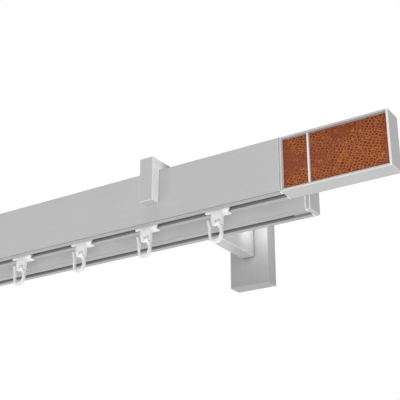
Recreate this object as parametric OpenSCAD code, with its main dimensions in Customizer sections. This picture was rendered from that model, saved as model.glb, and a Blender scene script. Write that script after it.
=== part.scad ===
// Double curtain rod for a wall: two slim aluminium rails with an inner channel, side by side on
// two flat bracket arms. The front rail carries white gliders with hooks and ends in two framed
// finials with leather inlays; the rear rail ends in plain caps. Sizes are in millimetres.
// The origin lies on the wall, midway between the brackets, at the middle of the arms' height.
// +Y points into the wall, so the rails lie at negative Y, and +Z is up.

/* [Rods] */
// Length of both rods
rod_len = 1000; // [700:10:3000]
// Height of the rod profile
rod_h = 35; // [32:0.5:45]
// Depth of the rod profile, front to back
rod_d = 14; // [13:0.5:18]
// Outer wall of the rod profile
rod_wall = 1.3; // [1:0.1:1.6]
// Small chamfer along the outer edges of the rods, the finials and the end caps
edge_cut = 0.5; // [0.2:0.1:1]
// Width of the slot under each rod
slot_w = 5; // [4.4:0.1:6]
// Thickness of the two lips beside the slot
lip_t = 1.4; // [1:0.1:2]
// Clear height of the glider channel above the lips
channel_h = 6.4; // [5:0.1:8]
// Thickness of the webs across the inside of the profile
web_t = 1.2; // [0.8:0.1:1.6]
// Width of the opening of the groove on top of each rod
groove_slot = 5; // [4.6:0.1:6]
// Clear width of the groove on top of each rod
groove_w = 8.6; // [8:0.1:9.6]
// Clear height of the groove on top of each rod
groove_h = 3; // [2.8:0.1:4]
// Distance from the wall to the middle of the rear rod
rear_dist = 94; // [70:1:160]
// Distance between the middles of the two rods
rod_pitch = 32.8; // [28:0.4:60]

/* [Finials] */
// Length of a finial
finial_len = 69; // [50:1:120]
// Width of the frame round the inlays, seen from the front
frame_wall = 1.4; // [0.8:0.1:2]
// Depth of the frame's recess, from its front face to the floor under the leather
recess_d = 4; // [3:0.1:5]
// Thickness of the leather inlays
leather_t = 1.5; // [1:0.1:2]
// Slope cut on the front edges of the leather
leather_edge = 0.4; // [0.2:0.1:0.8]
// Gap round each piece of leather
leather_gap = 0.1; // [0.05:0.05:0.3]
// Distance from the rod's end to the dividing strip
divider_at = 17.8; // [10:0.2:30]
// Width of the dividing strip
divider_w = 1.1; // [0.8:0.1:2.5]
// How far the dividing strip stands in front of the leather
divider_proud = 1; // [0.2:0.1:1.3]

/* [Plugs and caps] */
// Length of the plug legs inside the rods
leg_len = 12; // [8:0.5:16]
// Length of the finial plug inside the finial
finial_grip = 10; // [8:0.5:16]
// Gap round the plug legs
plug_fit = 0.15; // [0.05:0.05:0.3]
// Floor left between the recess and the plug's pocket in the finial
pocket_floor = 1.2; // [0.8:0.1:2]
// Back wall of the finial behind the plug's pocket
pocket_back = 1.4; // [1:0.1:2]
// Thickness of the rear rod's end caps
cap_t = 3; // [2:0.2:8]

/* [Brackets] */
// Distance from a rod's end to the middle of its bracket
bracket_inset = 91; // [82:1:200]
// Width of the bracket's wall box
box_w = 31.5; // [28:0.5:50]
// Height of the bracket's wall box
box_h = 72; // [66:0.5:110]
// Depth of the bracket's wall box
box_d = 12; // [11:0.1:20]
// Side walls of the wall box
box_wall = 1.8; // [1.2:0.1:2.4]
// Front wall of the wall box
box_front = 3; // [2:0.1:3.6]
// Width of the bracket arm
arm_w = 10; // [9.2:0.2:14]
// Height of the bracket arm
arm_h = 30; // [26:0.5:40]
// Height of the arm that is left above the rods
arm_over = 7; // [6:0.1:12]
// Thickness of the arm's nose in front of the front rod
nose_t = 7.3; // [4:0.1:12]
// Gap between the rods and the arm's notches
notch_fit = 0.1; // [0.05:0.05:0.3]
// Thickness of the hidden wall plate
plate_t = 3; // [2:0.1:4]
// Gap between the wall plate and the wall box
plate_fit = 0.4; // [0.2:0.1:0.8]
// Width of the wall plate's bent lugs
lug_w = 18; // [12:0.5:24]
// Gap between the lugs' ends and the front wall of the wall box
lug_gap = 0.3; // [0.1:0.1:1]
// Radius of the holes for the wall screws
wall_hole_r = 2.6; // [2:0.1:3.5]
// Distance between the two wall screws of a bracket
wall_hole_gap = 48; // [34:1:54]

/* [Screws] */
// Radius of the screws that hold an arm to its wall box
arm_screw_r = 2.5; // [2:0.1:3]
// Head radius of the arm screws
arm_head_r = 4.2; // [3.6:0.1:4.6]
// Head height of the arm screws
arm_head_h = 2.6; // [2:0.1:3]
// Distance between the two screws of an arm
arm_screw_gap = 15; // [11:0.5:17]
// Depth of the arm screws inside the arm
arm_screw_len = 14; // [8:0.5:20]
// Radius of the screws that clamp the rods
clamp_r = 2; // [1.5:0.1:2.1]
// Head radius of the clamp screws
clamp_head_r = 3.4; // [3:0.1:3.8]
// Head height of the clamp screws
clamp_head_h = 2.4; // [2:0.1:3]
// Length of the clamp nuts in the rods' top groove
nut_len = 12; // [8:0.5:20]
// Thickness of the clamp nuts
nut_t = 2.4; // [1.8:0.1:2.6]
// Gap beside each clamp nut in its groove
nut_gap = 0.2; // [0.1:0.05:0.3]
// Radius of the set screws on top of the wall boxes
set_r = 2; // [1.5:0.1:2.4]
// Length of the set screws
set_len = 7; // [6:0.5:8]
// Gap round every screw
screw_fit = 0.05; // [0.03:0.01:0.08]
// Gap under every screw head and over every clamp nut
seat_fit = 0.05; // [0.02:0.01:0.1]

/* [Gliders] */
// Distance from each rod end to the middle of the outermost glider
end_gap = 47; // [42:1:80]
// Length of a glider
glider_len = 16.5; // [16:0.5:19]
// Thickness of the glider's neck in the slot
neck_t = 1.6; // [1.2:0.1:3.6]
// Width of the glider's head on the lips
head_w = 9.6; // [7:0.1:9.8]
// Thickness of the glider's head
head_t = 1.6; // [1.2:0.1:2.4]
// Running gap between the glider and the lips
run_gap = 0.15; // [0.05:0.05:0.3]
// How far the neck hangs below the rod
neck_drop = 0.3; // [0:0.05:0.4]
// Reach of the glider's tab behind the slot's middle
tab_reach = 5.2; // [4:0.1:6.4]
// Thickness of the tab
tab_t = 1; // [0.8:0.1:1.4]
// Gap between the tab and the rod's underside
tab_gap = 0.3; // [0.2:0.05:0.4]
// Depth of the glider's hook pin below the rod
pin_drop = 7.6; // [6.6:0.1:9]
// Left end of the glider's wide cheek, from the glider's middle
cheek_x = -4.1; // [-5:0.1:-3]
// Width of the glider's wide cheek beside the pin
cheek_w = 2.8; // [2.4:0.1:4]
// Thickness of the two cheeks, front to back
cheek_t = 2.4; // [2.3:0.1:3]
// Width of the glider's thin cheek at the other end of the pin
thin_cheek_w = 1.2; // [0.8:0.1:1.6]
// Gap between the hook's ring and the thin cheek
ring_gap = 0.2; // [0.1:0.05:0.4]
// Length of pin left free beside the hook's ring
free_pin = 1.8; // [1.6:0.1:3]
// Radius of the hook pin
pin_r = 1.1; // [0.8:0.05:1.15]
// Running gap between the pin and the hook
pin_fit = 0.08; // [0.03:0.01:0.1]

/* [Hooks] */
// Thickness of a hook, front to back
hook_t = 1.6; // [1.2:0.1:3]
// Radius of the hook's ring round the pin
ring_r = 2.1; // [1.9:0.05:2.3]
// Width of the ring along the pin
ring_w = 2; // [1.6:0.1:2.4]
// Width of the hook's strong leg
leg_w = 1.9; // [1.6:0.1:2.6]
// Width of the hook's springy tail
tail_w = 1.2; // [1:0.1:1.6]
// Gap between the glider's cheeks and the top of the hook's leg
shoulder_gap = 0.7; // [0.5:0.05:1]
// How far the tail's middle lies outside the glider's wide cheek
tail_out = 1.3; // [0.9:0.1:1.8]
// Height of the hook below the pin
hook_h = 12.4; // [11:0.1:20]

/* [Hidden] */
$fn = 48;
glider_count = 18;
mid_front = -(rear_dist + rod_pitch);
mid_rear = -rear_dist;
rod_bottom = arm_h/2 - arm_over - rod_h;
rod_top = arm_h/2 - arm_over;
rod_in = rod_d - 2*rod_wall;
cell_low = lip_t + channel_h + web_t;
cell_high = rod_h - rod_wall - groove_h - web_t;
glider_pitch = (rod_len - 2*end_gap)/(glider_count - 1);
bracket_x = rod_len/2 - bracket_inset;
lug_len = box_d - box_front - lug_gap;
set_at = (plate_t + lug_len)/2;
eps = 0.01;

// Draws a flat shape, given as Y and Z, and pulls it along X from x0 to x1.
module along_x(x0, x1) {
    translate([x0, 0, 0]) rotate([90, 0, 90]) linear_extrude(x1 - x0) children();
}

// Draws a flat shape, given as X and Z, and pulls it along Y from y0 to y1.
module along_y(y0, y1) {
    translate([0, y1, 0]) rotate([90, 0, 0]) linear_extrude(y1 - y0) children();
}

// The rods' outline with its four chamfered edges, Y across its middle and Z from its bottom.
module rod_outline() {
    polygon([[-rod_d/2 + edge_cut, 0], [rod_d/2 - edge_cut, 0], [rod_d/2, edge_cut],
             [rod_d/2, rod_h - edge_cut], [rod_d/2 - edge_cut, rod_h],
             [-rod_d/2 + edge_cut, rod_h], [-rod_d/2, rod_h - edge_cut], [-rod_d/2, edge_cut]]);
}

// A rectangle from (y0, z0) to (y1, z1).
module box2(y0, y1, z0, z1) {
    translate([y0, z0]) square([y1 - y0, z1 - z0]);
}

// The extruded rail: glider channel with its slot below, closed cell, T groove on top.
module rod_section() {
    difference() {
        rod_outline();
        box2(-slot_w/2, slot_w/2, -1, lip_t + 1);
        box2(-rod_in/2, rod_in/2, lip_t, lip_t + channel_h);
        box2(-rod_in/2, rod_in/2, cell_low, cell_high);
        box2(-groove_w/2, groove_w/2, rod_h - rod_wall - groove_h, rod_h - rod_wall);
        box2(-groove_slot/2, groove_slot/2, rod_h - rod_wall - 1, rod_h + 1);
    }
}

module rod(mid) {
    color([0.74, 0.74, 0.74])
        translate([0, mid, rod_bottom]) along_x(-rod_len/2, rod_len/2) rod_section();
}

// Moves a right-hand piece, drawn with its rod end at X = 0, to the chosen end of a rod.
module at_end(side, mid) {
    mirror([side < 0 ? 1 : 0, 0, 0]) translate([rod_len/2, mid, rod_bottom]) children();
}

// The two legs of a plug inside the rod: one in the closed cell, one in the glider channel.
module plug_legs() {
    along_x(-leg_len, 0) {
        box2(-rod_in/2 + plug_fit, rod_in/2 - plug_fit, cell_low + plug_fit, cell_high - plug_fit);
        box2(-rod_in/2 + plug_fit, rod_in/2 - plug_fit,
             lip_t + plug_fit, lip_t + channel_h - plug_fit);
    }
}

// Front to back limits of the plug inside the finial, behind the recess.
function pocket_y0() = -rod_d/2 + recess_d + pocket_floor;
function pocket_y1() = rod_d/2 - pocket_back;

module finial_plug(side) {
    color([0.35, 0.35, 0.36]) at_end(side, mid_front) {
        plug_legs();
        along_x(-eps, finial_grip)
            box2(pocket_y0() + plug_fit, pocket_y1() - plug_fit,
                 lip_t + plug_fit, cell_high - plug_fit);
    }
}

// The finial's aluminium frame, with its open recess in front and the plug's pocket at the rod end.
module finial_frame(side) {
    color([0.76, 0.76, 0.76]) at_end(side, mid_front) difference() {
        intersection() {
            along_x(0, finial_len) rod_outline();
            along_y(-rod_d, rod_d) polygon([[0, -1], [finial_len - edge_cut, -1],
                [finial_len - edge_cut, 0], [finial_len, edge_cut],
                [finial_len, rod_h - edge_cut], [finial_len - edge_cut, rod_h],
                [finial_len - edge_cut, rod_h + 1], [0, rod_h + 1]]);
        }
        along_y(-rod_d, -rod_d/2 + recess_d)
            box2(frame_wall, finial_len - frame_wall, frame_wall, rod_h - frame_wall);
        along_x(-1, finial_grip + plug_fit) box2(pocket_y0(), pocket_y1(), lip_t, cell_high);
    }
}

// A flat piece of leather from x0 to x1 on the recess floor, with sloped front edges.
module inlay(side, x0, x1) {
    back = -rod_d/2 + recess_d;
    front = back - leather_t;
    z0 = frame_wall + leather_gap;
    z1 = rod_h - frame_wall - leather_gap;
    color([0.66, 0.36, 0.14]) at_end(side, mid_front) intersection() {
        along_x(x0, x1) polygon([[back, z0], [back, z1], [front + leather_edge, z1],
            [front, z1 - leather_edge], [front, z0 + leather_edge], [front + leather_edge, z0]]);
        linear_extrude(rod_h) polygon([[x0, back], [x1, back], [x1, front + leather_edge],
            [x1 - leather_edge, front], [x0 + leather_edge, front], [x0, front + leather_edge]]);
    }
}

module small_inlay(side) {
    inlay(side, frame_wall + leather_gap, divider_at - leather_gap);
}

module large_inlay(side) {
    inlay(side, divider_at + divider_w + leather_gap, finial_len - frame_wall - leather_gap);
}

// The metal strip between the two pieces of leather, glued to the recess floor.
module divider(side) {
    back = -rod_d/2 + recess_d;
    color([0.78, 0.78, 0.78]) at_end(side, mid_front)
        along_y(back - leather_t - divider_proud, back)
            box2(divider_at, divider_at + divider_w, frame_wall, rod_h - frame_wall);
}

module rear_cap(side) {
    color([0.75, 0.75, 0.75]) at_end(side, mid_rear) {
        plug_legs();
        intersection() {
            along_x(0, cap_t) rod_outline();
            along_y(-rod_d, rod_d) polygon([[0, -1], [cap_t - edge_cut, -1],
                [cap_t - edge_cut, 0], [cap_t, edge_cut],
                [cap_t, rod_h - edge_cut], [cap_t - edge_cut, rod_h],
                [cap_t - edge_cut, rod_h + 1], [0, rod_h + 1]]);
        }
    }
}

// Moves a piece, drawn round X = 0, to the chosen bracket.
module at_bracket(side) {
    translate([side*bracket_x, 0, 0]) children();
}

// A notch in the arm for a rod, open below.
module notch(mid) {
    box2(mid - rod_d/2 - notch_fit, mid + rod_d/2 + notch_fit, -arm_h, rod_top + notch_fit);
}

module bracket_arm(side) {
    color([0.78, 0.78, 0.78]) at_bracket(side) difference() {
        along_x(-arm_w/2, arm_w/2) difference() {
            box2(mid_front - rod_d/2 - notch_fit - nose_t, -box_d, -arm_h/2, arm_h/2);
            notch(mid_front);
            notch(mid_rear);
        }
        for (z = [-arm_screw_gap/2, arm_screw_gap/2])
            translate([0, -box_d + eps, z]) rotate([90, 0, 0])
                cylinder(r = arm_screw_r + screw_fit, h = arm_screw_len + 1);
        for (mid = [mid_front, mid_rear]) translate([0, mid, 0]) {
            cylinder(r = clamp_r + screw_fit, h = arm_h);
            translate([0, 0, arm_h/2 - clamp_head_h - 2*seat_fit])
                cylinder(r = clamp_head_r + screw_fit, h = clamp_head_h + 1);
        }
    }
}

// The wall box that hides the wall plate: a shell open to the wall, with a chamfered front edge.
module wall_box(side) {
    color([0.78, 0.78, 0.78]) at_bracket(side) difference() {
        intersection() {
            along_x(-box_w/2, box_w/2) polygon([[0, -box_h/2], [0, box_h/2],
                [-box_d + edge_cut, box_h/2], [-box_d, box_h/2 - edge_cut],
                [-box_d, -box_h/2 + edge_cut], [-box_d + edge_cut, -box_h/2]]);
            translate([0, 0, -box_h]) linear_extrude(2*box_h) polygon([[-box_w/2, 0],
                [box_w/2, 0], [box_w/2, -box_d + edge_cut], [box_w/2 - edge_cut, -box_d],
                [-box_w/2 + edge_cut, -box_d], [-box_w/2, -box_d + edge_cut]]);
        }
        along_y(-box_d + box_front, 1)
            box2(-box_w/2 + box_wall, box_w/2 - box_wall, -box_h/2 + box_wall, box_h/2 - box_wall);
        for (z = [-arm_screw_gap/2, arm_screw_gap/2])
            translate([0, -box_d - 1, z]) rotate([-90, 0, 0])
                cylinder(r = arm_screw_r + screw_fit, h = box_front + 2);
        translate([0, -set_at, 0]) cylinder(r = set_r + screw_fit, h = box_h);
    }
}

// The steel plate that is screwed to the wall, with a bent lug at its top and bottom.
module wall_plate(side) {
    half_w = box_w/2 - box_wall - plate_fit;
    half_h = box_h/2 - box_wall - plate_fit;
    color([0.6, 0.6, 0.6]) at_bracket(side) difference() {
        union() {
            along_y(-plate_t, 0) box2(-half_w, half_w, -half_h, half_h);
            for (up = [0, 1]) mirror([0, 0, up])
                along_y(-lug_len, -plate_t + eps) box2(-lug_w/2, lug_w/2, half_h - plate_t, half_h);
        }
        for (z = [-wall_hole_gap/2, wall_hole_gap/2])
            translate([0, -plate_t - 1, z]) rotate([-90, 0, 0])
                cylinder(r = wall_hole_r, h = plate_t + 2);
        translate([0, -set_at, 0]) cylinder(r = set_r + screw_fit, h = box_h);
    }
}

// The screws that pull each arm against its wall box, put in from behind.
module arm_screws() {
    color([0.55, 0.55, 0.56])
        for (side = [-1, 1], z = [-arm_screw_gap/2, arm_screw_gap/2])
            at_bracket(side) translate([0, -box_d + box_front + seat_fit, z]) {
                rotate([-90, 0, 0]) cylinder(r = arm_head_r, h = arm_head_h);
                rotate([90, 0, 0])
                    cylinder(r = arm_screw_r, h = box_front + seat_fit + arm_screw_len);
            }
}

// The screws from above that draw each rod up into its notch.
module clamp_screws() {
    tip = rod_top - rod_wall - seat_fit - nut_t;
    head = arm_h/2 - clamp_head_h - seat_fit;
    color([0.55, 0.55, 0.56])
        for (side = [-1, 1], mid = [mid_front, mid_rear])
            at_bracket(side) translate([0, mid, 0]) {
                translate([0, 0, head]) cylinder(r = clamp_head_r, h = clamp_head_h);
                translate([0, 0, tip]) cylinder(r = clamp_r, h = head - tip + eps);
            }
}

// The flat nuts that slide in the rods' top groove.
module clamp_nuts() {
    top = rod_top - rod_wall - seat_fit;
    color([0.58, 0.58, 0.58])
        for (side = [-1, 1], mid = [mid_front, mid_rear])
            at_bracket(side) translate([0, mid, 0]) difference() {
                along_x(-nut_len/2, nut_len/2)
                    box2(-groove_w/2 + nut_gap, groove_w/2 - nut_gap, top - nut_t, top);
                translate([0, 0, top - nut_t - 1])
                    cylinder(r = clamp_r + screw_fit, h = nut_t + 2);
            }
}

module set_screws() {
    color([0.3, 0.3, 0.31])
        for (side = [-1, 1]) at_bracket(side)
            translate([0, -set_at, box_h/2 - set_len - 0.5]) cylinder(r = set_r, h = set_len);
}

// Moves a piece, drawn round the slot's middle with Z = 0 on the rod's underside, to a glider's place.
module at_glider(i) {
    translate([-rod_len/2 + end_gap + (i - 1)*glider_pitch, mid_front, rod_bottom]) children();
}

// Ends of the pin between the glider's two cheeks, and the cheeks' outlines.
pin_x0 = cheek_x + cheek_w;
pin_x1 = pin_x0 + free_pin + ring_w + ring_gap;
cheek_end = pin_x1 + thin_cheek_w;
eye_top = -pin_drop + ring_r + run_gap;
eye_low = -pin_drop - pin_r;

module glider(i) {
    color([0.93, 0.93, 0.93]) at_glider(i) {
        // Head that runs on the lips, with round ends
        translate([0, 0, lip_t + run_gap]) linear_extrude(head_t) {
            square([glider_len - head_w, head_w], center = true);
            for (s = [-1, 1]) translate([s*(glider_len - head_w)/2, 0]) circle(d = head_w);
        }
        // Neck in the slot
        along_x(-glider_len/2, glider_len/2)
            box2(-neck_t/2, neck_t/2, -neck_drop, lip_t + run_gap + eps);
        // Cheeks of the eye
        along_y(-cheek_t/2, cheek_t/2) difference() {
            polygon([[cheek_x + 0.6, -neck_drop + eps], [cheek_x, eye_low/2],
                [cheek_x + 0.4*cheek_w, eye_low], [cheek_end, eye_low],
                [cheek_end, -neck_drop + eps]]);
            box2(pin_x0, pin_x1, eye_low - 1, eye_top);
        }
        // Pin that carries the hook
        translate([pin_x0 - 0.2, 0, -pin_drop]) rotate([0, 90, 0])
            cylinder(r = pin_r, h = pin_x1 - pin_x0 + 0.4);
        // Tab under the rear lip
        translate([pin_x0, 0, -tab_gap - tab_t])
            cube([glider_len/2 - 1 - pin_x0, tab_reach, tab_t]);
    }
}

// Points of a smooth curve through p, with the given number of steps between two points.
function pick(p, i) = p[max(0, min(len(p) - 1, i))];
function spline(p, i, t) = let (a = pick(p, i - 1), b = pick(p, i), c = pick(p, i + 1), d = pick(p, i + 2))
    0.5*((2*b) + (c - a)*t + (2*a - 5*b + 4*c - d)*t*t + (3*b - a - 3*c + d)*t*t*t);
function curve(p, steps) = concat(
    [for (i = [0:len(p) - 2], k = [0:steps - 1]) spline(p, i, k/steps)], [p[len(p) - 1]]);
function side_of(c, s) = [for (i = [0:len(c) - 1])
    let (a = pick(c, i - 1), b = pick(c, i + 1), dx = b[0] - a[0], dz = b[1] - a[1],
         l = sqrt(dx*dx + dz*dz)) [c[i][0] - s*dz/l*c[i][2]/2, c[i][1] + s*dx/l*c[i][2]/2]];

// Middle line of the hook as X, Z and width: strong leg, round bottom, springy tail.
ring_x1 = pin_x1 - ring_gap;
ring_x0 = ring_x1 - ring_w;
leg_x = cheek_end - leg_w/2;
tail_x = cheek_x - tail_out;
leg_top = eye_low - shoulder_gap;
low = -pin_drop - hook_h;
hook_line = [
    [leg_x, leg_top, leg_w],
    [leg_x, (leg_top + low)/2 + 0.8, leg_w],
    [leg_x - 0.2, low + 4.4, leg_w + 0.2],
    [leg_x - 1.2, low + 2.1, leg_w + 0.3],
    [(leg_x + tail_x)/2, low + leg_w/2 + 0.1, leg_w + 0.1],
    [tail_x + 1.6, low + 2, tail_w + 0.5],
    [tail_x + 0.5, low + 4.1, tail_w + 0.2],
    [tail_x, low + 7.1, tail_w + 0.1],
    [tail_x - 0.1, -pin_drop - 2.4, tail_w],
    [tail_x - 0.7, -pin_drop + 0.3, tail_w],
    [tail_x - 1.3, -pin_drop + 3, tail_w - 0.1]];

module hook(i) {
    mid = curve(hook_line, 3);
    back = side_of(mid, -1);
    color([0.95, 0.95, 0.95]) at_glider(i) difference() {
        union() {
            translate([ring_x0, 0, -pin_drop]) rotate([0, 90, 0]) cylinder(r = ring_r, h = ring_w);
            along_y(-hook_t/2, hook_t/2) {
                polygon([[ring_x0, -pin_drop], [ring_x0, -pin_drop - ring_r - 0.4],
                    [leg_x - leg_w/2 + 0.3, leg_top - 2.8], [leg_x, leg_top - 2.8],
                    [ring_x1, leg_top - 1], [ring_x1, -pin_drop]]);
                polygon(concat(side_of(mid, 1), [for (k = [len(back) - 1:-1:0]) back[k]]));
            }
        }
        translate([ring_x0 - 1, 0, -pin_drop]) rotate([0, 90, 0])
            cylinder(r = pin_r + pin_fit, h = ring_w + 2);
    }
}

rod(mid_front);  // front_rod
rod(mid_rear);  // rear_rod
finial_frame(-1);  // finial_frame_left
finial_frame(1);  // finial_frame_right
small_inlay(-1);  // small_inlay_left
small_inlay(1);  // small_inlay_right
large_inlay(-1);  // large_inlay_left
large_inlay(1);  // large_inlay_right
divider(-1);  // divider_left
divider(1);  // divider_right
finial_plug(-1);  // finial_plug_left
finial_plug(1);  // finial_plug_right
rear_cap(-1);  // rear_cap_left
rear_cap(1);  // rear_cap_right
bracket_arm(-1);  // bracket_arm_left
bracket_arm(1);  // bracket_arm_right
wall_box(-1);  // wall_box_left
wall_box(1);  // wall_box_right
wall_plate(-1);  // wall_plate_left
wall_plate(1);  // wall_plate_right
arm_screws();
clamp_screws();
clamp_nuts();
set_screws();
for (i = [1:glider_count]) {
    glider(i);
    hook(i);
}
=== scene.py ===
import math
import bpy
import bmesh
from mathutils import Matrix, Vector


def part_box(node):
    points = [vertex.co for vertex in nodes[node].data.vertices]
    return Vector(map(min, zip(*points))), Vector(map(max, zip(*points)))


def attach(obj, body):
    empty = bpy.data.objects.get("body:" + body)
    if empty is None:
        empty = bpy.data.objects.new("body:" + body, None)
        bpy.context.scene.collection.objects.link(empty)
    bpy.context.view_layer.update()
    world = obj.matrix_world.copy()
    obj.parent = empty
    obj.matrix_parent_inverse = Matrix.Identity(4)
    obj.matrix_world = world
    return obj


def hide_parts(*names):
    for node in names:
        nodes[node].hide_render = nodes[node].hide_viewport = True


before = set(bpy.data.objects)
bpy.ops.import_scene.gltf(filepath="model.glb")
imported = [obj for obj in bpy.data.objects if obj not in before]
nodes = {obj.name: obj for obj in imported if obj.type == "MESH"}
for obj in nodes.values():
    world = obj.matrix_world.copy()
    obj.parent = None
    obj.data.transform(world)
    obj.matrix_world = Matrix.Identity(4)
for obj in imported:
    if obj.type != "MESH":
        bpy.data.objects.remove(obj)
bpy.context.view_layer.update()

# Measures of the rod and the camera's place are in millimetres, and MM makes them metres.
# The lamps, the floor and the patterns in the finishes are in metres.
MM = 0.001
SIDES = ("left", "right")
GLIDERS = sum(1 for name in nodes if name.startswith("glider_"))


# Workbench

JOIN = 0.002          # corners closer than this become one
FLAT = 1              # degrees; faces that turn by less become one face
SHARP = 60            # degrees; an edge that turns by more counts as sharp
SAME_PLACE = 0.02     # measures that differ by less are the same
TOUCH = 0.1           # what lies nearer to a side than this touches it


def near(a, b):
    return abs(a - b) < SAME_PLACE


# The next four tell where a face looks, from its normal or from the normal's part on one axis.

def along(part):
    return abs(part) > 0.9


def mostly_along(part):
    return abs(part) > 0.5


def sloping(part):
    """True for a face turned only partly towards the axis, as a chamfer is."""
    return 0.3 < abs(part) < 0.95


def to_front(normal):
    return normal.y < -0.3


def box_of(node):
    """The two corners of a CAD part's box, in millimetres."""
    low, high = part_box(node)
    return low/MM, high/MM


def pick_only(piece):
    """Selects one piece and nothing else."""
    if bpy.context.object and bpy.context.object.mode != "OBJECT":
        bpy.ops.object.mode_set(mode="OBJECT")
    bpy.ops.object.select_all(action="DESELECT")
    piece.select_set(True)
    bpy.context.view_layer.objects.active = piece


def open_whole(piece):
    """Opens a piece's mesh in edit mode with all of it selected."""
    pick_only(piece)
    bpy.ops.object.mode_set(mode="EDIT")
    bpy.ops.mesh.select_all(action="SELECT")


def open_where(piece, kind, wanted):
    """Opens a piece's mesh with only the edges or faces selected that pass the test."""
    pick_only(piece)
    bpy.ops.object.mode_set(mode="EDIT")
    bpy.ops.mesh.select_mode(type=kind)
    bpy.ops.mesh.select_all(action="DESELECT")
    shape = bmesh.from_edit_mesh(piece.data)
    found = [part for part in (shape.edges if kind == "EDGE" else shape.faces) if wanted(part)]
    for part in found:
        part.select_set(True)
    bmesh.update_edit_mesh(piece.data)
    return bool(found)


def close_mesh():
    bpy.ops.object.mode_set(mode="OBJECT")


def ease_all(piece, width, rounds, angle):
    """Rounds every edge of a piece that turns by more than the angle."""
    bevel = piece.modifiers.new("eased", "BEVEL")
    bevel.width = width*MM
    bevel.segments = rounds
    bevel.limit_method = "ANGLE"
    bevel.angle_limit = math.radians(angle)
    pick_only(piece)
    bpy.ops.object.modifier_apply(modifier=bevel.name)


def ease_where(piece, wanted, width, rounds=1):
    """Rounds or chamfers the sharp edges whose two ends pass the test."""

    def picked(edge):
        turn = math.degrees(edge.calc_face_angle(0)) if len(edge.link_faces) == 2 else 180
        return turn > SHARP and wanted(*(end.co/MM for end in edge.verts))

    if open_where(piece, "EDGE", picked):
        bpy.ops.mesh.bevel(offset=width*MM, segments=rounds, affect="EDGES")
    close_mesh()


def smooth(piece, angle):
    pick_only(piece)
    bpy.ops.object.shade_smooth_by_angle(angle=math.radians(angle))


def copy_of(source, name):
    """A new piece with its own copy of another one's mesh."""
    piece = bpy.data.objects.new(name, source.data.copy())
    bpy.context.scene.collection.objects.link(piece)
    return piece


def joined_copy(node, name):
    """A copy of a CAD part whose loose triangles are joined into whole faces."""
    piece = copy_of(nodes[node], name)
    open_whole(piece)
    bpy.ops.mesh.remove_doubles(threshold=JOIN*MM)
    bpy.ops.mesh.dissolve_limited(angle_limit=math.radians(FLAT))
    close_mesh()
    return piece


def first_finish(piece, finish):
    """Gives a piece, or a CAD part that keeps its own mesh, its main finish."""
    piece.data.materials.clear()
    piece.data.materials.append(finish)


def second_finish(piece, finish, wanted):
    """Gives the faces that pass the test, by middle and normal, another finish."""
    piece.data.materials.append(finish)
    for face in piece.data.polygons:
        if wanted(face.center/MM, face.normal):
            face.material_index = len(piece.data.materials) - 1


def place_piece(piece, node, body, finish):
    """Gives a piece its finish and its body, and hides the CAD part it stands for."""
    first_finish(piece, finish)
    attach(piece, body)
    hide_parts(node)


# Camera, fitted to the photo

def set_camera():
    lens = bpy.data.cameras.new("camera")
    lens.sensor_width = 36
    lens.lens = 83.88
    camera = bpy.data.objects.new("camera", lens)
    bpy.context.scene.collection.objects.link(camera)
    camera.location = (729.9*MM, -575.9*MM, -239.6*MM)
    camera.rotation_euler = (math.radians(112.672), 0, math.radians(32.799))
    bpy.context.scene.camera = camera


set_camera()


# Tools for the finishes

NOISE_LOW, NOISE_HIGH = 0.3, 0.7      # a noise pattern keeps mostly between these two


def add(tree, kind, **settings):
    made = tree.nodes.new(kind)
    for key, value in settings.items():
        setattr(made, key, value)
    return made


def feed(tree, value, socket):
    """Links another node's output to a socket, or writes a plain value into it."""
    if isinstance(value, bpy.types.NodeSocket):
        tree.links.new(value, socket)
    else:
        socket.default_value = value


def math_node(tree, operation, a, b):
    made = add(tree, "ShaderNodeMath", operation=operation)
    feed(tree, a, made.inputs[0])
    feed(tree, b, made.inputs[1])
    return made.outputs[0]


def range_node(tree, value, low, high, out_low, out_high):
    """Turns the range from low to high into the range from out_low to out_high, cut off beyond."""
    made = add(tree, "ShaderNodeMapRange")
    for label, number in (("Value", value), ("From Min", low), ("From Max", high),
                          ("To Min", out_low), ("To Max", out_high)):
        feed(tree, number, made.inputs[label])
    return made.outputs["Result"]


def spread_noise(tree, noise, out_low, out_high):
    return range_node(tree, noise, NOISE_LOW, NOISE_HIGH, out_low, out_high)


def mix_node(tree, factor, a, b):
    made = add(tree, "ShaderNodeMix", data_type="RGBA")
    for socket, value in ((made.inputs[0], factor), (made.inputs[6], a), (made.inputs[7], b)):
        feed(tree, value, socket)
    return made.outputs[2]


def noise_node(tree, place, scale, detail, distortion=0):
    """A soft noise pattern; a larger scale makes it finer."""
    made = add(tree, "ShaderNodeTexNoise")
    tree.links.new(place, made.inputs["Vector"])
    feed(tree, scale, made.inputs["Scale"])
    made.inputs["Detail"].default_value = detail
    made.inputs["Distortion"].default_value = distortion
    return made


def bump_node(tree, height, strength, distance, shader):
    """Shades a finish as if its surface rose with a pattern, by a distance in millimetres."""
    made = add(tree, "ShaderNodeBump")
    made.inputs["Strength"].default_value = strength
    made.inputs["Distance"].default_value = distance*MM
    tree.links.new(height, made.inputs["Height"])
    tree.links.new(made.outputs["Normal"], shader.inputs["Normal"])
    return made


def new_group(name, inputs, outputs):
    group = bpy.data.node_groups.new(name, "ShaderNodeTree")
    for label, kind, value in inputs:
        socket = group.interface.new_socket(name=label, in_out="INPUT", socket_type=kind)
        if value is not None:
            socket.default_value = value
    for label, kind in outputs:
        group.interface.new_socket(name=label, in_out="OUTPUT", socket_type=kind)
    return group, group.nodes.new("NodeGroupInput"), group.nodes.new("NodeGroupOutput")


def new_finish(name):
    finish = bpy.data.materials.new(name)
    finish.use_nodes = True
    return finish, finish.node_tree, finish.node_tree.nodes["Principled BSDF"]


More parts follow.
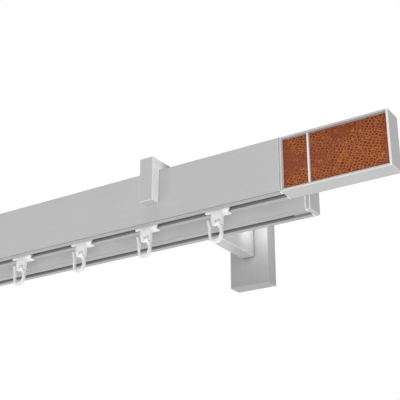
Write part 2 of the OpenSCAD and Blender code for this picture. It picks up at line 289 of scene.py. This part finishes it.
def grey(value):
    """An sRGB grey level, 0 to 255, as a linear colour."""
    v = value/255
    v = v/12.92 if v <= 0.04045 else ((v + 0.055)/1.055)**2.4
    return (v, v, v, 1)


def colour(r, g, b):
    """An sRGB colour, 0 to 255, as a linear colour."""
    return tuple(grey(c)[0] for c in (r, g, b)) + (1,)


def darker(tint, share):
    return tuple(share*c for c in tint[:3]) + (1,)


# Effects that several finishes share

def drawn_grain():
    """Fine lines drawn along one direction, as on anodised profiles and brushed plates."""
    group, into, out = new_group("drawn_grain",
        [("Vector", "NodeSocketVector", None), ("Along", "NodeSocketVector", (1, 1, 1)),
         ("Scale", "NodeSocketFloat", 2200)],
        [("Lines", "NodeSocketFloat"), ("Clouds", "NodeSocketFloat")])
    stretch = add(group, "ShaderNodeVectorMath", operation="MULTIPLY")
    group.links.new(into.outputs["Vector"], stretch.inputs[0])
    group.links.new(into.outputs["Along"], stretch.inputs[1])
    lines = noise_node(group, stretch.outputs[0], scale=into.outputs["Scale"], detail=3)
    clouds = noise_node(group, into.outputs["Vector"], scale=28, detail=4)
    group.links.new(lines.outputs["Fac"], out.inputs["Lines"])
    group.links.new(clouds.outputs["Fac"], out.inputs["Clouds"])
    return group


def edge_highlight_mask():
    """Where the painted highlight goes: 1 on chamfers and rounded edges, 0 on the flat faces of a
    square piece.
    """
    group, into, out = new_group("edge_highlight_mask", [], [("Edge", "NodeSocketFloat")])
    coordinates = add(group, "ShaderNodeTexCoord")
    size = add(group, "ShaderNodeVectorMath", operation="ABSOLUTE")
    group.links.new(coordinates.outputs["Normal"], size.inputs[0])
    parts = add(group, "ShaderNodeSeparateXYZ")
    group.links.new(size.outputs[0], parts.inputs[0])
    most = math_node(group, "MAXIMUM", parts.outputs[0], parts.outputs[1])
    most = math_node(group, "MAXIMUM", most, parts.outputs[2])
    group.links.new(range_node(group, most, 0.99, 0.9, 0, 1), out.inputs["Edge"])
    return group


GRAIN = drawn_grain()
EDGES = edge_highlight_mask()


# Metals

NOSE_REFLECTION_FROM, NOSE_REFLECTION_TO = -0.132, -0.122      # metres along Y, at the front end of the arms, where the arms' sides get a painted reflection


def satin_aluminium(name, grain_way, face, edge, roughness, depth, metal, nose=None):
    """Anodised aluminium with a drawn grain, painted highlights on edges and, on arms, a painted
    nose reflection.
    """
    finish, tree, shader = new_finish(name)
    coordinates = add(tree, "ShaderNodeTexCoord")
    grain = add(tree, "ShaderNodeGroup", node_tree=GRAIN)
    tree.links.new(coordinates.outputs["Object"], grain.inputs["Vector"])
    grain.inputs["Along"].default_value = grain_way
    lines = grain.outputs["Lines"]
    edges = add(tree, "ShaderNodeGroup", node_tree=EDGES)
    tone = math_node(tree, "MULTIPLY", spread_noise(tree, lines, 0.975, 1.02),
                     spread_noise(tree, grain.outputs["Clouds"], 0.975, 1.02))
    # The edge colour on chamfers and rounded edges is a painted highlight.
    base = mix_node(tree, edges.outputs["Edge"], face, edge)
    # The nose colour is a painted reflection, fading out from the front end of the arm.
    if nose:
        apart = add(tree, "ShaderNodeSeparateXYZ")
        tree.links.new(coordinates.outputs["Object"], apart.inputs[0])
        nose_reflection_mask = range_node(tree, apart.outputs["Y"], NOSE_REFLECTION_FROM, NOSE_REFLECTION_TO, 1, 0)
        base = mix_node(tree, nose_reflection_mask, base, nose)
    tinted = add(tree, "ShaderNodeVectorMath", operation="SCALE")
    tree.links.new(base, tinted.inputs[0])
    tree.links.new(tone, tinted.inputs["Scale"])
    tree.links.new(tinted.outputs[0], shader.inputs["Base Color"])
    shader.inputs["Metallic"].default_value = metal
    tree.links.new(spread_noise(tree, lines, roughness + 0.05, roughness - 0.05),
                   shader.inputs["Roughness"])
    bump_node(tree, lines, strength=depth, distance=0.02, shader=shader)
    return finish


# The grain's pattern is drawn out along the axis with the small number, and NO_LINES draws none.
ALONG_X, ALONG_Y, ALONG_Z = (0.02, 1, 1), (1, 0.03, 1), (1, 1, 0.03)
NO_LINES = (1, 1, 1)

# Name, grain, grey of the faces and of the edges (a painted highlight), roughness, depth of the
# grain, metal share
RAIL = satin_aluminium("anodised_rail", ALONG_X, grey(188), grey(192), 0.5, 0.15, 0.1)
# Painted shade: a darker copy of the rail's metal for the faces that look down.
UNDERSIDE_SHADE = satin_aluminium("rail_underside_painted_shade", ALONG_X, grey(166), grey(172), 0.55, 0.1, 0.05)
# Painted shade: a darker copy of the rail's metal for the hollows inside the rails.
CHANNEL_SHADE = satin_aluminium("channel_painted_shade", ALONG_X, grey(136), grey(136), 0.6, 0.1, 0.1)
FINIAL = satin_aluminium("anodised_finial", ALONG_X, grey(182), grey(208), 0.45, 0.06, 0.15)
# Painted highlight: a flat light grey for lit walls, chamfers and the dividing strip.
PAINTED_HIGHLIGHT = satin_aluminium("painted_highlight_metal", ALONG_X, grey(238), grey(240), 0.6, 0.05, 0.0)
NOSE = satin_aluminium("brushed_arm", ALONG_Z, grey(188), grey(224), 0.36, 0.4, 0.2)
# The arms' sides: a darker copy of the arm's metal as painted shade, with a painted reflection at
# the nose.
PAINTED_ARM_SIDE = satin_aluminium("brushed_arm_side_painted_shade_and_reflection", ALONG_Y, grey(156), grey(216), 0.36, 0.4, 0.1,
                           nose=grey(248))
WALL_BOX = satin_aluminium("brushed_wall_box", ALONG_Z, grey(156), grey(156), 0.36, 0.4, 0.25)
# Painted shade: a dark grey for the sides of the groove at the arm's foot.
PAINTED_GROOVE_SHADE = satin_aluminium("painted_groove_shade", NO_LINES, grey(70), grey(70), 0.7, 0.05, 0.0)


def plated_steel(name, tint, roughness):
    """Plated steel with soft clouds in its tint and a faint spangle in its shine."""
    finish, tree, shader = new_finish(name)
    place = add(tree, "ShaderNodeTexCoord").outputs["Object"]
    spangle = add(tree, "ShaderNodeTexVoronoi")
    spangle.inputs["Scale"].default_value = 700
    tree.links.new(place, spangle.inputs["Vector"])
    soft = noise_node(tree, place, scale=120, detail=4).outputs["Fac"]
    tree.links.new(mix_node(tree, spread_noise(tree, soft, 0, 1), darker(tint, 0.86), tint),
                   shader.inputs["Base Color"])
    shader.inputs["Metallic"].default_value = 1
    shine = range_node(tree, spangle.outputs["Distance"], 0, 1, roughness - 0.06, roughness + 0.08)
    tree.links.new(shine, shader.inputs["Roughness"])
    return finish


STEEL = plated_steel("zinc_plated_steel", grey(176), 0.34)
BLACK_STEEL = plated_steel("blackened_steel", grey(78), 0.4)


# Plastics

def moulded_plastic(name, tint, roughness):
    """Plastic with the faint flow marks of moulding."""
    finish, tree, shader = new_finish(name)
    place = add(tree, "ShaderNodeTexCoord").outputs["Object"]
    flow = noise_node(tree, place, scale=260, detail=3).outputs["Fac"]
    tree.links.new(mix_node(tree, spread_noise(tree, flow, 0, 1), darker(tint, 0.93), tint),
                   shader.inputs["Base Color"])
    tree.links.new(spread_noise(tree, flow, roughness - 0.05, roughness + 0.06),
                   shader.inputs["Roughness"])
    bump_node(tree, flow, strength=0.15, distance=0.03, shader=shader)
    shader.inputs["Specular IOR Level"].default_value = 0.45
    return finish


WHITE_PLASTIC = moulded_plastic("white_glider_plastic", grey(238), 0.38)
HOOK_PLASTIC = moulded_plastic("white_hook_plastic", grey(238), 0.34)
DARK_PLASTIC = moulded_plastic("grey_plug_plastic", grey(88), 0.5)


# Leather

GOLDEN, AMBER = colour(186, 104, 38), colour(204, 124, 38)
RUST, DARK, VIOLET = colour(126, 52, 28), colour(54, 18, 12), colour(116, 42, 42)
LARGE_SCALE, SMALL_SCALE = 1.9, 1.45      # sizes of the embossed scales
DRIFT = 1.1                               # how far the pattern is shifted at most
# Inwards from a scale's border: where the seam begins to fade, where the pit begins, full depth
SEAM, PIT, DEEPEST = 0.03, 0.13, 0.3


def reptile_leather():
    """Orange-brown leather embossed with a reptile's scales: dark pits in a golden network."""
    finish, tree, shader = new_finish("embossed_leather")
    place = add(tree, "ShaderNodeTexCoord").outputs["Object"]

    # The pattern lies flat on X and Z, a little shifted here and there, turned and stretched.
    shift = add(tree, "ShaderNodeVectorMath", operation="MULTIPLY_ADD")
    drift = noise_node(tree, place, scale=190, detail=2).outputs["Color"]
    tree.links.new(drift, shift.inputs[0])
    shift.inputs[1].default_value = (DRIFT*MM, 0, DRIFT*MM)
    tree.links.new(place, shift.inputs[2])
    apart = add(tree, "ShaderNodeSeparateXYZ")
    tree.links.new(shift.outputs[0], apart.inputs[0])
    flat = add(tree, "ShaderNodeCombineXYZ")
    tree.links.new(apart.outputs[0], flat.inputs[0])
    tree.links.new(apart.outputs[2], flat.inputs[1])
    turned = add(tree, "ShaderNodeMapping")
    turned.inputs["Rotation"].default_value = (0, 0, math.radians(24))
    turned.inputs["Scale"].default_value = (0.86, 1.2, 1)
    tree.links.new(flat.outputs[0], turned.inputs["Vector"])

    def scales(size, loose):
        """The distance from the nearest border between scales of a given size."""
        cells = add(tree, "ShaderNodeTexVoronoi", feature="DISTANCE_TO_EDGE",
                    voronoi_dimensions="2D")
        cells.inputs["Scale"].default_value = 1/(size*MM)
        cells.inputs["Randomness"].default_value = loose
        tree.links.new(turned.outputs[0], cells.inputs["Vector"])
        return cells.outputs["Distance"]

    # Patches of large scales and patches of small ones.
    patches = noise_node(tree, place, scale=62, detail=2.5, distortion=0.4).outputs["Fac"]
    where_large = range_node(tree, patches, 0.34, 0.44, 0, 1)
    where_small = math_node(tree, "SUBTRACT", 1, where_large)
    depth = math_node(tree, "ADD",
                      math_node(tree, "MULTIPLY", scales(LARGE_SCALE, 0.75), where_large),
                      math_node(tree, "MULTIPLY", scales(SMALL_SCALE, 0.85), where_small))
    seam = range_node(tree, depth, SEAM, PIT, 1, 0)
    cell = range_node(tree, depth, PIT, DEEPEST, 0, 1)

    # Rust ground with a violet blush, golden seams, dark pits, then golden and amber specks.
    speck = noise_node(tree, place, scale=1500, detail=3).outputs["Fac"]
    blush = noise_node(tree, place, scale=110, detail=2).outputs["Fac"]
    spots = noise_node(tree, place, scale=420, detail=2).outputs["Fac"]
    ground = mix_node(tree, range_node(tree, blush, 0.48, 0.66, 0, 0.7), RUST, VIOLET)
    warm = range_node(tree, patches, 0.34, 0.52, 0.35, 1)
    lines = mix_node(tree, math_node(tree, "MULTIPLY", seam, warm), ground, GOLDEN)
    deep = mix_node(tree, spread_noise(tree, speck, 0, 0.4), DARK, RUST)
    pitted = math_node(tree, "MULTIPLY", cell, range_node(tree, warm, 0.35, 1, 0.55, 1))
    tone = mix_node(tree, pitted, lines, deep)
    tone = mix_node(tree, range_node(tree, speck, 0.42, 0.68, 0, 0.35), tone, GOLDEN)
    tone = mix_node(tree, range_node(tree, spots, 0.56, 0.72, 0, 0.5), tone, AMBER)
    tree.links.new(tone, shader.inputs["Base Color"])
    tree.links.new(range_node(tree, cell, 0, 1, 0.4, 0.6), shader.inputs["Roughness"])
    shader.inputs["Specular IOR Level"].default_value = 0.3
    bump_node(tree, cell, strength=0.7, distance=0.15, shader=shader).invert = True
    return finish


LEATHER = reptile_leather()


# Rails, finials and caps

RAIL_CHAMFER = 0.4
RAIL_SKIN = 0.5       # faces deeper in a rail than this are inside its channel, cell or groove, and get painted shade
JOINT_CHAMFER = 0.3   # where finials and caps meet the rails, so that a fine line shows, lightened by a painted highlight
RIM_CHAMFER = 0.2     # round the finial's recess
TIP_CHAMFER = 0.4     # on the cap's front edge
TIP_RIM = 1.1         # width of the rim at the finial's tip that gets a painted highlight
RECESS_DEPTH = 4      # of the finial's recess, in which the leather lies
SIDE_ZONE = 1         # nearer to a finial's side than this is its outline, further in its recess
CAP_ZONE = 0.6        # nearer to a cap's side than this is its outline, further in its legs


def rail(node, name):
    """A rail with the outlines of its ends chamfered, painted shade on its insides and underside,
    and a painted highlight on its end chamfers.
    """
    low, high = box_of(node)
    piece = joined_copy(node, name)

    def outer_sides(point):
        return (near(point.y, low.y), near(point.y, high.y),
                near(point.z, low.z), near(point.z, high.z))

    def end_outline(a, b):
        """The edges across the rail's ends. Its long corners are cut in the CAD part already."""
        return near(a.x, b.x) and any(p and q for p, q in zip(outer_sides(a), outer_sides(b)))

    def takes_underside_shade(middle, normal):
        return near(middle.z, low.z) and along(normal.z)

    def inside(middle, normal):
        return (low.y + RAIL_SKIN < middle.y < high.y - RAIL_SKIN
                and low.z + RAIL_SKIN < middle.z < high.z - RAIL_SKIN
                and not mostly_along(normal.x))

    ease_where(piece, end_outline, RAIL_CHAMFER)
    place_piece(piece, node, "rails", RAIL)
    # Painted shade on the faces that look down.
    second_finish(piece, UNDERSIDE_SHADE, takes_underside_shade)
    # Painted highlight on the chamfers round the rail's ends.
    second_finish(piece, PAINTED_HIGHLIGHT, lambda middle, normal: sloping(normal.x))
    # Painted shade inside the channel, cell and groove.
    second_finish(piece, CHANNEL_SHADE, inside)


def cut_across(piece, place):
    """New edges round a piece at a place on X, so that its end can get its own finish."""
    open_whole(piece)
    bpy.ops.mesh.bisect(plane_co=(place*MM, 0, 0), plane_no=(1, 0, 0))
    close_mesh()


def finial(side):
    """The frame round the leather, with its joint and its recess chamfered, and a painted highlight
    on its tip and the recess's end walls.
    """
    node = f"finial_frame_{side}"
    low, high = box_of(node)
    joint, tip, outward = (low.x, high.x, 1) if side == "right" else (high.x, low.x, -1)
    rim = tip - outward*TIP_RIM
    piece = joined_copy(node, f"frame_{side}")

    def joint_edge(a, b):
        """The joint's outline, without the pocket for the plug."""
        return (near(a.x, joint) and near(b.x, joint)
                and (max(a.y, b.y) > high.y - SIDE_ZONE or min(a.y, b.y) < low.y + SIDE_ZONE))

    def recess_rim(a, b):
        return (near(a.y, low.y) and near(b.y, low.y)
                and min(abs(a.z - low.z), abs(b.z - low.z)) > SIDE_ZONE
                and min(abs(a.x - joint), abs(b.x - joint)) > SIDE_ZONE)

    def bright(middle, normal):
        """The faces that get a painted highlight: the recess's two end walls, and the front of the
        tip.
        """
        in_recess = (low.x + SIDE_ZONE < middle.x < high.x - SIDE_ZONE
                     and low.z + SIDE_ZONE < middle.z < high.z - SIDE_ZONE
                     and middle.y < low.y + RECESS_DEPTH - TOUCH)
        return (in_recess and mostly_along(normal.x)
                or outward*(middle.x - rim) > 0 and to_front(normal))

    ease_where(piece, joint_edge, JOINT_CHAMFER)
    ease_where(piece, recess_rim, RIM_CHAMFER)
    place_piece(piece, node, "rails", FINIAL)
    cut_across(piece, rim)
    # Painted highlight on the recess's end walls and the front of the tip.
    second_finish(piece, PAINTED_HIGHLIGHT, bright)


def end_cap(side):
    """The plain cap of the rear rail, with its joint and the front edge of its tip chamfered, and a
    painted highlight on its front chamfers.
    """
    node = f"rear_cap_{side}"
    low, high = box_of(node)
    rail_low, rail_high = box_of("rear_rod")
    joint, tip = (rail_low.x, low.x) if side == "left" else (rail_high.x, high.x)
    piece = joined_copy(node, f"end_cap_{side}")

    def joint_edge(a, b):
        """The joint's outline, without the cap's legs, which start at the joint too."""
        return (near(a.x, joint) and near(b.x, joint)
                and (min(a.y, b.y) < low.y + CAP_ZONE or max(a.y, b.y) > high.y - CAP_ZONE
                     or max(a.z, b.z) > high.z - CAP_ZONE or min(a.z, b.z) < low.z + TOUCH))

    def tip_edge(a, b):
        """The upright edge between the front and the tip."""
        return near(a.x, tip) and near(b.x, tip) and near(a.y, low.y) and near(b.y, low.y)

    ease_where(piece, joint_edge, JOINT_CHAMFER)
    ease_where(piece, tip_edge, TIP_CHAMFER)
    place_piece(piece, node, "rails", FINIAL)
    # Painted highlight on the chamfers that face the front.
    second_finish(piece, PAINTED_HIGHLIGHT,
                  lambda middle, normal: to_front(normal) and sloping(normal.x))


def leather_pad(size, side):
    """A leather inlay with its cut edge rounded over."""
    node = f"{size}_inlay_{side}"
    piece = joined_copy(node, f"{size}_leather_{side}")
    ease_all(piece, width=0.2, rounds=3, angle=20)
    smooth(piece, angle=35)
    place_piece(piece, node, "rails", LEATHER)


def dividing_strip(side):
    """The strip between the two inlays, with softened edges, all in painted highlight."""
    node = f"divider_{side}"
    piece = joined_copy(node, f"strip_{side}")
    ease_all(piece, width=0.15, rounds=2, angle=60)
    place_piece(piece, node, "rails", PAINTED_HIGHLIGHT)


rail("front_rod", "rail_front")
rail("rear_rod", "rail_rear")
for side in SIDES:
    finial(side)
    end_cap(side)
    dividing_strip(side)
    leather_pad("small", side)
    leather_pad("large", side)
    first_finish(nodes[f"finial_plug_{side}"], DARK_PLASTIC)


# Brackets

ARM_EASE = 0.3
GROOVE_WIDTH = 0.9    # of the fine groove round the arm's foot, whose sides are painted dark as shade
GROOVE_DEPTH = 0.08


def arm(side):
    """A bracket arm with eased edges and a fine groove, painted dark as shade, where it meets the
    wall box.
    """
    node = f"bracket_arm_{side}"
    low, high = box_of(node)
    end = high.y
    piece = joined_copy(node, f"arm_{side}")

    def outer_edge(a, b):
        """The edges that touch the arm's top, bottom or nose, without those at the wall box."""
        return (min(a.y, b.y) < end - TOUCH
                and (max(a.z, b.z) > high.z - TOUCH or min(a.z, b.z) < low.z + TOUCH
                     or min(a.y, b.y) < low.y + TOUCH))

    def wall_end(face):
        return near(face.calc_center_median().y/MM, end) and along(face.normal.y)

    ease_where(piece, outer_edge, ARM_EASE, rounds=2)
    open_where(piece, "FACE", wall_end)
    bpy.ops.transform.translate(value=(0, -GROOVE_WIDTH*MM, 0))
    bpy.ops.mesh.inset(thickness=GROOVE_DEPTH*MM)
    bpy.ops.mesh.extrude_region_move(TRANSFORM_OT_translate={"value": (0, GROOVE_WIDTH*MM, 0)})
    close_mesh()
    place_piece(piece, node, "rails", NOSE)
    # Painted shade on the arm's sides, with a painted reflection at the nose.
    second_finish(piece, PAINTED_ARM_SIDE, lambda middle, normal: along(normal.x))
    # Painted shade on the sides of the groove.
    second_finish(piece, PAINTED_GROOVE_SHADE, lambda middle, normal: middle.y > end - GROOVE_WIDTH
                  and not mostly_along(normal.y))


def wall_box(side):
    node = f"wall_box_{side}"
    place_piece(joined_copy(node, f"box_{side}"), node, "rails", WALL_BOX)


def socket_screws(node, finish, across, deep, lying, places):
    """Screws with softened rims and a hexagon socket cut into each head.

    The sockets measure so much across their flats, and lie along Y or stand along Z.
    """
    piece = joined_copy(node, f"{node}_made")
    ease_all(piece, width=0.25, rounds=2, angle=60)
    cutters = []
    for place in places:
        bpy.ops.mesh.primitive_cylinder_add(
            vertices=6, radius=across/math.sqrt(3)*MM, depth=2*deep*MM,
            location=[c*MM for c in place], rotation=(math.radians(90 if lying else 0), 0, 0))
        cutters.append(bpy.context.object)
    bpy.ops.object.select_all(action="DESELECT")
    for cutter in cutters:
        cutter.select_set(True)
    bpy.context.view_layer.objects.active = cutters[0]
    bpy.ops.object.join()
    joined = bpy.context.object
    pick_only(piece)
    cut = piece.modifiers.new("sockets", "BOOLEAN")
    cut.operation = "DIFFERENCE"
    cut.solver = "EXACT"
    cut.object = joined
    bpy.ops.object.modifier_apply(modifier=cut.name)
    bpy.data.objects.remove(joined)
    smooth(piece, angle=40)
    place_piece(piece, node, "rails", finish)


def all_screws():
    """Clamp screws from above, set screws in the tops of the boxes and arm screws from behind.

    The set screws' sockets are in their lower ends, though a key would come from above.
    """
    clamp_head, set_screw, arm_head = 3.4, 2, 4.2      # radii where the sockets are cut
    low, high = box_of("clamp_screws")
    socket_screws("clamp_screws", STEEL, across=3, deep=1.6, lying=False, places=[
        (x, y, high.z) for x in (low.x + clamp_head, high.x - clamp_head)
        for y in (low.y + clamp_head, high.y - clamp_head)])
    low, high = box_of("set_screws")
    socket_screws("set_screws", BLACK_STEEL, across=2, deep=2.2, lying=False, places=[
        (x, (low.y + high.y)/2, low.z) for x in (low.x + set_screw, high.x - set_screw)])
    low, high = box_of("arm_screws")
    socket_screws("arm_screws", STEEL, across=4, deep=1.6, lying=True, places=[
        (x, high.y, z) for x in (low.x + arm_head, high.x - arm_head)
        for z in (low.z + arm_head, high.z - arm_head)])


for side in SIDES:
    arm(side)
    wall_box(side)
    first_finish(nodes[f"wall_plate_{side}"], STEEL)
first_finish(nodes["clamp_nuts"], STEEL)
all_screws()


# Gliders and hooks

def repeated(kind, name, finish, width, rounds, angle):
    """Makes one moulded part, and a copy of it in every other place."""
    first = joined_copy(f"{kind}_1", f"{name}_1")
    ease_all(first, width, rounds, angle)
    smooth(first, angle=40)
    pieces = [first]
    first_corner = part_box(f"{kind}_1")[0]
    for i in range(2, GLIDERS + 1):
        piece = copy_of(first, f"{name}_{i}")
        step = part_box(f"{kind}_{i}")[0] - first_corner
        for vertex in piece.data.vertices:
            vertex.co += step
        pieces.append(piece)
    for i, piece in enumerate(pieces, 1):
        place_piece(piece, f"{kind}_{i}", f"{kind}_{i}", finish)


repeated("glider", "runner", WHITE_PLASTIC, width=0.2, rounds=2, angle=30)
repeated("hook", "pleat_hook", HOOK_PLASTIC, width=0.35, rounds=3, angle=40)


# Studio

FLOOR_SIZE, FLOOR_HEIGHT = 40, -2.3
FLOOR_TINT = (0.9, 0.9, 0.9, 1)
AIR_LIGHT = 0.18      # the light that the white surroundings give, against 1 where they are seen


def studio_floor():
    bpy.ops.object.select_all(action="DESELECT")
    bpy.ops.mesh.primitive_plane_add(size=FLOOR_SIZE, location=(0, 0, FLOOR_HEIGHT))
    floor = bpy.context.active_object
    floor.name = "floor"
    finish, tree, shader = new_finish("pale_floor")
    shader.inputs["Base Color"].default_value = FLOOR_TINT
    shader.inputs["Roughness"].default_value = 0.9
    floor.data.materials.append(finish)


def studio_air():
    """White surroundings that are seen and reflected in full and give only a little light."""
    world = bpy.data.worlds.new("studio")
    bpy.context.scene.world = world
    world.use_nodes = True
    tree = world.node_tree
    sky = tree.nodes["Background"]
    path = add(tree, "ShaderNodeLightPath")
    seen = math_node(tree, "MAXIMUM", path.outputs["Is Camera Ray"],
                     math_node(tree, "MAXIMUM", path.outputs["Is Glossy Ray"],
                               path.outputs["Is Transmission Ray"]))
    tree.links.new(range_node(tree, seen, 0, 1, AIR_LIGHT, 1), sky.inputs["Strength"])
    sky.inputs["Color"].default_value = (1, 1, 1, 1)


def overhead_sun(strength):
    """A broad light from straight above, which makes the floor as white as the background."""
    light = bpy.data.lights.new("overhead", "SUN")
    light.energy = strength
    light.angle = math.radians(60)
    bpy.context.scene.collection.objects.link(bpy.data.objects.new("overhead", light))


def area_lamp(name, place, aim, size, power, in_reflections=True):
    """A lamp that isn't seen itself, and that shiny parts mirror only if in_reflections is true."""
    light = bpy.data.lights.new(name, "AREA")
    light.shape = "RECTANGLE"
    light.size, light.size_y = size
    light.energy = power
    lamp = bpy.data.objects.new(name, light)
    bpy.context.scene.collection.objects.link(lamp)
    lamp.location = place
    lamp.visible_camera = False
    lamp.visible_glossy = in_reflections
    lamp.rotation_euler = (Vector(aim) - Vector(place)).to_track_quat("-Z", "Y").to_euler()


studio_floor()
studio_air()
overhead_sun(2.5)
# Name, place, the point it is aimed at, size and power
area_lamp("fill_right", (0.95, -1.1, -0.52), (0.3, -0.1, 0), (0.5, 0.15), 4.9)
area_lamp("fill_left", (-0.6, -1.1, -0.53), (-0.3, -0.1, 0), (0.5, 0.15), 3.5)
area_lamp("fill_back", (-1.2, 1.4, 0.1), (0, -0.05, 0), (0.8, 0.5), 13, in_reflections=False)
area_lamp("floor_bounce", (0.1, -0.1, -0.6), (0.1, -0.1, 0), (2, 1.4), 0.6)
# Two small lamps light the corner between the right arm and its wall box, as in the photo.
# Mirrored in the metal they would leave burnt-out spots in other views.
area_lamp("right_of_arm", (0.455, -0.055, 0), (0.412, -0.01, 0), (0.03, 0.03), 0.02,
          in_reflections=False)
area_lamp("before_box", (0.428, -0.028, 0.004), (0.417, -0.012, 0.003), (0.01, 0.014), 0.006,
          in_reflections=False)

bpy.context.scene.view_settings.view_transform = "Standard"
